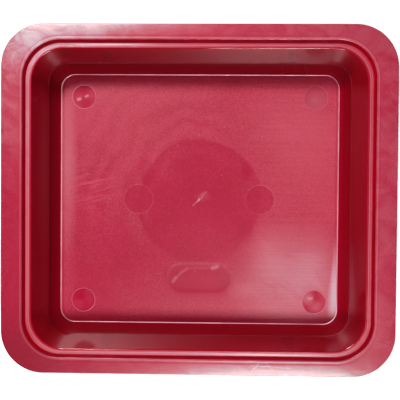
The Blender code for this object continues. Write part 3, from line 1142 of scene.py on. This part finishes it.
def wall_material():
    graph = Graph("tray_wall_plastic")
    upper = crimson_base(graph, WALL_CRIMSON, WALL_CRIMSON)
    knee = RIM_TOP - KNEE_DROP
    above = graph.range(graph.height, knee - 0.001, knee + 0.001)
    # painted shade: below the knee the wall is darker, less so towards the floor, with painted light on its
    # front right, back and front
    rise = graph.range(graph.height, FLOOR_TOP, knee)
    lower = graph.mix(rise, rgba(COVE_FOOT_SHADE_CRIMSON), rgba(SHADE_AND_SCORE_CRIMSON))
    for value, low, high, amount in (
        (graph.minus(graph.x, graph.y), -0.1, 0.2, 0.75),
        (graph.y, 0.11, 0.13, 0.35),
        (graph.y, -0.11, -0.13, 0.45),
    ):
        lower = graph.tint(lower, graph.range(value, low, high, 0.0, amount), COVE_PAINTED_LIGHT)
    colour = graph.mix(above, lower, upper)
    sink = lug_sinks(graph)
    # painted shade in the sunk places opposite the lugs
    colour = graph.tint(colour, graph.times(sink, 0.25), SHADE_AND_SCORE_CRIMSON)
    # a painted highlight: the paler line round the floor, with brighter painted glints
    edge = graph.rounded(FLOOR_EDGE)
    along = graph.cloud(30.0, 3.0)
    shine = graph.plus(graph.range(along, 0.3, 0.7, 0.35, 0.6), *graph.patches(EDGE_GLINTS))
    line = graph.times(graph.band(edge, 0.0001, 0.0009), shine)
    colour = graph.tint(colour, graph.times(line, EDGE_HIGHLIGHT), HIGHLIGHT_PALE)
    # painted light: a second, redder line on the right
    beside = graph.times(graph.band(edge, 0.0026, 0.0016), graph.range(graph.x, 0.1, 0.14))
    colour = graph.tint(colour, graph.times(beside, 0.6), CRIMSON)
    # a painted highlight along the knee's crease at the back and at the front right corner
    crease = graph.band(graph.height, knee, 0.0007)
    front_right = graph.times(graph.range(graph.x, 0.1, 0.14), graph.range(graph.y, -0.095, -0.125))
    to_right = graph.range(graph.x, -0.145, -0.125, 0.3, 0.6)
    to_corners = graph.range(graph.either_side(graph.x), 0.05, 0.1, 0.4, 1.0)
    back = graph.times(graph.range(graph.y, 0.1, 0.125), to_right, to_corners)
    crease = graph.times(crease, graph.math("MAXIMUM", front_right, back), CREASE_HIGHLIGHT)
    colour = graph.tint(colour, crease, WEAR_AND_HIGHLIGHT_PALE)
    smear = graph.drawn((25.0, 25.0, 6.0), 0.0, 2.0, 0.5)
    duller = graph.range(graph.height, knee - 0.002, knee, 0.16, 0.0)
    roughness = graph.plus(graph.range(smear, 0.3, 0.7, 0.11, 0.15), duller)
    normal = graph.bump(graph.cloud(60.0, 2.0, 0.5), 0.0001, 0.02)
    normal = graph.bump(sink, 0.0001, 0.4, normal)
    return plastic(graph, colour, roughness, WALL_SKIN, normal)


def step_material():
    """The short upright step between the flange and the ledge."""
    graph = Graph("tray_step_plastic")
    colour = crimson_base(graph, STEP_CRIMSON, WALL_CRIMSON)
    drag = graph.drawn((120.0, 120.0, 25.0), 0.0, 3.0, 0.5)
    roughness = graph.range(drag, 0.3, 0.7, 0.42, 0.55)
    normal = graph.bump(graph.cloud(700.0), 0.00003, 0.3)
    return plastic(graph, colour, roughness, STEP_SKIN, normal)


def rim_material():
    graph = Graph("tray_rim_plastic")
    colour = crimson_base(graph)
    marble = graph.drawn((38.0, 49.4, 38.0), 0.3, 5.0, 0.65, 1.2)
    patchy = graph.range(marble, 0.38, 0.68)
    # painted sheen in marbled patches and grain
    grain = graph.cloud(1250.0)
    painted_sheen = graph.plus(graph.times(patchy, 0.25), graph.range(grain, 0.3, 0.7, -0.55, 0.65))
    patches = graph.times(graph.plus(*graph.patches(RIM_SHEEN_PATCHES)), graph.range(patchy, 0.0, 1.0, 0.3, 1.0))
    colour = graph.tint(colour, graph.share(graph.plus(painted_sheen, patches), RIM_SHEEN), SHEEN_AND_SCUFF_PINK)
    # painted glare on the flange
    colour = graph.patched(colour, RIM_GLARE, GLARE_PINK, graph.range(marble, 0.34, 0.66, 0.3, 1.0))
    # painted sheen makes the ledge brighter than the flange, most to the front and the left, and painted
    # shade makes it redder to the right
    step_foot = graph.rounded(STEP_FOOT)
    to_left = graph.range(graph.x, -0.16, 0.16, 1.6, 0.1)
    to_front = graph.range(graph.y, -0.13, -0.145, 1.0, 2.2)
    paler = graph.times(graph.range(step_foot, -0.0006, 0.0002, 0.8, 0.0), to_left, to_front)
    colour = graph.tint(colour, graph.share(paler, RIM_SHEEN), SHEEN_AND_SCUFF_PINK)
    to_right = graph.range(graph.x, 0.15, 0.162)
    redder = graph.times(graph.range(step_foot, -0.0006, 0.0002, 1.0, 0.0), to_right)
    colour = graph.tint(colour, graph.times(redder, 0.45), WALL_CRIMSON)
    # painted shade on the flange
    colour = graph.patched(colour, RIM_PAINTED_SHADE, SHADE_AND_SCORE_CRIMSON)
    # painted shade and painted highlight lines beside the flange's and the ledge's inner edges
    step = graph.rounded(STEP_TOP)
    ledge = graph.rounded(LEDGE_EDGE)
    for distance, lines in ((step, STEP_LINES), (ledge, LEDGE_LINES)):
        for centre, width, amount, tone in lines:
            colour = graph.tint(colour, graph.times(graph.band(distance, centre, width), amount), tone)
    # painted highlights along the middle of the ledge
    colour = graph.patched(colour, LEDGE_GLINTS, HIGHLIGHT_PALE, graph.band(ledge, 0.004, 0.0014))
    colour = graph.lined(colour, RIM_SCORES, 0.002, SHADE_AND_SCORE_CRIMSON)
    colour = graph.lined(colour, RIM_SCRATCHES, 0.002, WEAR_AND_HIGHLIGHT_PALE)
    roughness = graph.range(marble, 0.35, 0.7, 0.72, 0.44)
    normal = graph.bump(marble, 0.0006, 0.3)
    normal = graph.bump(graph.cloud(1100.0, 3.0), 0.00004, 0.5, normal)
    return plastic(graph, colour, roughness, RIM_SKIN, normal)


def disc_material():
    """The corner marks: turned pads, whose fine spokes spread the light both ways from the middle."""
    graph = Graph("tray_disc_plastic")
    middle = next(centre for node, centre, _ in foot_nodes() if node.startswith("foot_"))
    across = graph.minus(graph.either_side(graph.x), abs(middle.x))
    along = graph.minus(graph.either_side(graph.y), abs(middle.y))
    across = graph.times(across, graph.math("SIGN", graph.x))
    along = graph.times(along, graph.math("SIGN", graph.y))
    # a painted highlight on the mark's raised edge, fainter on the back right mark
    distance = graph.length_of(across, along)
    edge = graph.band(distance, CORNER_MARK_DIAMETER / 2 + CORNER_MARK_MARGIN, 0.0005)
    highlight_strength = graph.range(graph.cloud(45.0, 2.0, 0.5), 0.35, 0.65, 0.26, 0.42)
    fainter = graph.range(graph.plus(graph.x, graph.y), 0.1, 0.2, 1.0, 0.45)
    edge = graph.times(edge, highlight_strength, fainter)
    cloud = graph.cloud(120.0, 3.0)
    # a faint painted sheen in clouds
    colour = graph.tint(crimson_base(graph), graph.range(cloud, 0.35, 0.7, 0.0, 0.05), SHEEN_AND_SCUFF_PINK)
    # painted glare: a haze over the back right mark and spots beside the middle of the front right one;
    # then painted highlight streaks by the middles of the back left and front right marks
    colour = graph.patched(colour, DISC_GLARE, GLARE_PINK)
    colour = graph.lined(colour, DISC_HIGHLIGHT_STREAKS, 0.0005, WEAR_AND_HIGHLIGHT_PALE)
    colour = graph.tint(colour, edge, WEAR_AND_HIGHLIGHT_PALE)
    graph.set("Anisotropic", 0.4)
    graph.set("Tangent", graph.joined(graph.times(along, -1.0), across))
    roughness = graph.range(cloud, 0.3, 0.7, 0.4, 0.5)
    normal = graph.bump(graph.cloud(900.0), 0.00002, 0.3)
    return plastic(graph, colour, roughness, DISC_SKIN, normal)


def underside_material():
    graph = Graph("tray_underside_plastic")
    scuffs = graph.drawn((30.0, 190.0, 30.0), 0.4, 4.0)
    colour = graph.tint(crimson_base(graph), graph.range(scuffs, 0.55, 0.8, 0.0, 0.06), SHEEN_AND_SCUFF_PINK)
    roughness = graph.range(graph.cloud(35.0, 3.0), 0.3, 0.7, 0.42, 0.58)
    normal = graph.bump(graph.cloud(600.0, 3.0), 0.00005, 0.5)
    return plastic(graph, colour, roughness, UNDER_SKIN, normal)


def rubber_material():
    graph = Graph("foot_rubber")
    dust = graph.cloud(300.0, 4.0)
    graph.set("Base Color", graph.mix(graph.range(dust, 0.45, 0.75, 0.0, 0.6), rgba(RUBBER), rgba(DUST)))
    graph.set("Roughness", 0.72)
    graph.set("Normal", graph.bump(graph.cloud(2200.0), 0.00005, 0.6))
    return graph.material


# Stage, light and camera ------------


def make_stage():
    """A wide pale floor under the tray."""
    bm = bmesh.new()
    bmesh.ops.create_grid(bm, x_segments=8, y_segments=8, size=STAGE_SIZE)
    bmesh.ops.translate(bm, verts=bm.verts, vec=(0, 0, CAD_LOW.z - STAGE_GAP))
    graph = Graph("pale_floor")
    paper = graph.cloud(3.0, 2.0, 0.5)
    graph.set("Base Color", graph.mix(paper, grey(0.88), grey(0.9)))
    graph.set("Roughness", 0.9)
    graph.set("Emission Color", grey(1.0))
    away = graph.away_from(0.0, 0.0)
    graph.set("Emission Strength", graph.range(away, 0.3, 2.0, STAGE_GLOW, STAGE_FAR_GLOW))
    stage = new_object("stage_floor", bm, [graph.material])


def add_lamp(name, place, radiance):
    """A soft lamp of a given brightness that faces the tray."""
    light = bpy.data.lights.new(name, "AREA")
    light.shape = "RECTANGLE"
    light.size, light.size_y = LAMP_SIZE
    light.energy = radiance * math.pi * LAMP_SIZE[0] * LAMP_SIZE[1]
    lamp = bpy.data.objects.new(name, light)
    lamp.location = place
    aim = Vector((0.0, 0.0, RIM_TOP)) - Vector(place)
    lamp.rotation_euler = aim.to_track_quat("-Z", "Y").to_euler()
    bpy.context.scene.collection.objects.link(lamp)


def make_world():
    """A dim studio overhead that brightens towards the horizon."""
    world = bpy.data.worlds.new("studio")
    bpy.context.scene.world = world
    world.use_nodes = True
    nodes = world.node_tree.nodes
    links = world.node_tree.links
    place = nodes.new("ShaderNodeTexCoord")
    split = nodes.new("ShaderNodeSeparateXYZ")
    ramp = nodes.new("ShaderNodeValToRGB")
    links.new(place.outputs["Generated"], split.inputs[0])
    links.new(split.outputs["Z"], ramp.inputs[0])
    ramp.color_ramp.elements[0].color = grey(0.95)
    ramp.color_ramp.elements[1].color = grey(0.1)
    ramp.color_ramp.elements[1].position = 0.25
    ramp.color_ramp.elements.new(0.08).color = grey(0.9)
    links.new(ramp.outputs["Color"], nodes["Background"].inputs["Color"])


def make_camera():
    data = bpy.data.cameras.new("camera")
    data.lens = CAMERA_LENS
    data.sensor_width = CAMERA_SENSOR
    data.shift_x, data.shift_y = CAMERA_SHIFT
    data.clip_start = CAMERA_NEAR
    data.clip_end = CAMERA_FAR
    camera = bpy.data.objects.new("camera", data)
    turn = Vector([math.radians(angle) for angle in CAMERA_TURN])
    rotation = Matrix.Rotation(turn.length, 4, turn.normalized())
    camera.matrix_world = Matrix.Translation(CAMERA_PLACE) @ rotation
    bpy.context.scene.collection.objects.link(camera)
    bpy.context.scene.camera = camera


def set_tone():
    """A gentle contrast curve, as a catalogue picture has."""
    view = bpy.context.scene.view_settings
    view.view_transform = "Standard"
    view.use_curve_mapping = True
    curve = view.curve_mapping.curves[3]
    for place in TONE_CURVE:
        curve.points.new(*place)
    view.curve_mapping.update()


def main():
    materials = [
        floor_material(),
        wall_material(),
        rim_material(),
        disc_material(),
        underside_material(),
        step_material(),
    ]
    make_tray(materials)
    rubber = rubber_material()
    for node, middle, diameter in foot_nodes():
        make_foot(node, middle, diameter, rubber)
    make_stage()
    make_world()
    add_lamp("lamp_back", LAMP_BACK, LAMP_BACK_RADIANCE)
    add_lamp("lamp_front", LAMP_FRONT, LAMP_FRONT_RADIANCE)
    make_camera()
    set_tone()


main()
